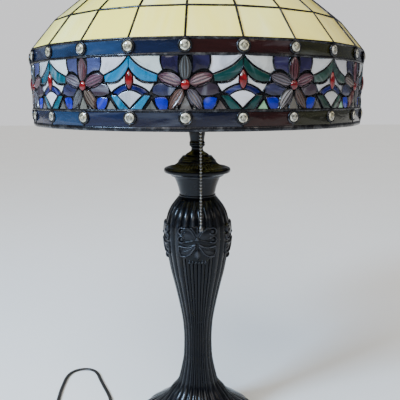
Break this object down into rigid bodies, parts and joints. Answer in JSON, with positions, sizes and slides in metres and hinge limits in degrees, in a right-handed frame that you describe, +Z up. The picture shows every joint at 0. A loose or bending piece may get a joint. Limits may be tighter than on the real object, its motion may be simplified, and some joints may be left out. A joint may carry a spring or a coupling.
{
  "type": "stained glass table lamp",
  "caption": "Table lamp with a leaded glass dome over a flower frieze band, a fluted cast column and foot, pull-chain sockets, and a flat lead with its plug.",
  "frame": {"origin": "on the stem's axis, on the surface that the lamp stands on", "axes": "+Z up along the stem; the pictured front faces -Y, and the lead leaves the foot towards -X"},
  "size_m": [0.4262, 0.408, 0.652],
  "materials": {
    "bronze_casting": "dark bronze paint, satin, worn a little brighter on the ribs",
    "bronze_trim": "dark bronze paint, satin",
    "socket_brass": "brushed",
    "black_plastic": "moulded",
    "chain_nickel": "nickel plated balls",
    "chain_bell": "dark brass",
    "bulb_base_metal": "rolled thread",
    "bulb_glass": "frosted white",
    "felt": "pressed felt",
    "weight_iron": "raw casting",
    "plain_steel": "zinc plated",
    "lead_insulation": "soft vinyl, satin",
    "plug_brass": "bare",
    "border_glass": "streaky dark opalescent glass, glossy",
    "frieze_glass": "streaky opalescent glass, glossy",
    "cream_glass": "cream opalescent glass, glossy",
    "solder": "dark patina over solder"
  },
  "bodies": {
    "root": {"felt_pad": "felt", "base_casting": "bronze_casting", "weight_disc": "weight_iron", "base_washer": "plain_steel", "base_nut": "plain_steel", "neck_collar": "bronze_casting", "cap_plate": "bronze_casting", "spindle": "bronze_casting", "threaded_tube": "plain_steel", "riser_tube": "plain_steel", "inner_lead": "lead_insulation", "cord_grommet": "black_plastic", "socket_hub": "bronze_casting", "hub_nut": "bronze_casting", "seat_nut": "socket_brass", "front_arm": "bronze_casting", "front_socket_cap": "socket_brass", "front_socket_shell": "socket_brass", "front_switch_body": "black_plastic", "front_screw_shell": "socket_brass", "front_chain_guide": "socket_brass", "rear_arm": "bronze_casting", "rear_socket_cap": "socket_brass", "rear_socket_shell": "socket_brass", "rear_switch_body": "black_plastic", "rear_screw_shell": "socket_brass", "rear_chain_guide": "socket_brass", "power_cord": "lead_insulation", "cord_coil": "lead_insulation", "cord_tail": "lead_insulation", "plug_body": "black_plastic", "plug_blade_left": "plug_brass", "plug_blade_right": "plug_brass"},
    "front_pull": {"front_pull_link": "chain_nickel"},
    "front_chain": {"front_pull_chain": "chain_nickel", "front_chain_bell": "chain_bell"},
    "front_bulb": {"front_bulb_base": "bulb_base_metal", "front_bulb_glass": "bulb_glass"},
    "rear_pull": {"rear_pull_link": "chain_nickel"},
    "rear_chain": {"rear_pull_chain": "chain_nickel", "rear_chain_bell": "chain_bell"},
    "rear_bulb": {"rear_bulb_base": "bulb_base_metal", "rear_bulb_glass": "bulb_glass"},
    "shade_seat": {"shade_spider": "socket_brass"},
    "shade": {"crown_ring": "socket_brass", "dome_row_1": "cream_glass", "dome_row_2": "cream_glass", "dome_row_3": "cream_glass", "dome_row_4": "cream_glass", "dome_row_5": "cream_glass", "upper_border": "border_glass", "frieze": "frieze_glass", "lower_border": "border_glass", "dome_solder": "solder", "rim_channel": "solder", "heat_cap": "bronze_trim"},
    "finial": {"finial": "bronze_trim"}
  },
  "joints": [
    {"name": "front_switch_pull", "type": "slide", "parent": "root", "child": "front_pull", "axis": [0, 0, -1], "range_m": [0, 0.006], "stiffness_N_per_m": 1000},
    {"name": "front_chain_swing", "type": "hinge", "parent": "front_pull", "child": "front_chain", "pos_m": [0.00451, -0.05482, 0.42705], "axis": [-0.9966, -0.0819, 0], "range_deg": [-2.5, 45]},
    {"name": "front_bulb_removal", "type": "slide", "parent": "root", "child": "front_bulb", "axis": [0.071, -0.8631, 0.5], "range_m": [0, 0.018]},
    {"name": "rear_switch_pull", "type": "slide", "parent": "root", "child": "rear_pull", "axis": [0, 0, -1], "range_m": [0, 0.006], "stiffness_N_per_m": 1000},
    {"name": "rear_chain_swing", "type": "hinge", "parent": "rear_pull", "child": "rear_chain", "pos_m": [-0.00451, 0.05482, 0.42705], "axis": [0.9966, 0.0819, 0], "range_deg": [-2.5, 45]},
    {"name": "rear_bulb_removal", "type": "slide", "parent": "root", "child": "rear_bulb", "axis": [-0.071, 0.8631, 0.5], "range_m": [0, 0.018]},
    {"name": "shade_turn", "type": "hinge", "parent": "root", "child": "shade_seat", "pos_m": [0, 0, 0.598], "axis": [0, 0, 1], "continuous": true},
    {"name": "shade_lift", "type": "slide", "parent": "shade_seat", "child": "shade", "axis": [0, 0, 1], "range_m": [0, 0.2]},
    {"name": "finial_turn", "type": "hinge", "parent": "shade", "child": "finial", "pos_m": [0, 0, 0.62], "axis": [0, 0, 1], "continuous": true}
  ]
}
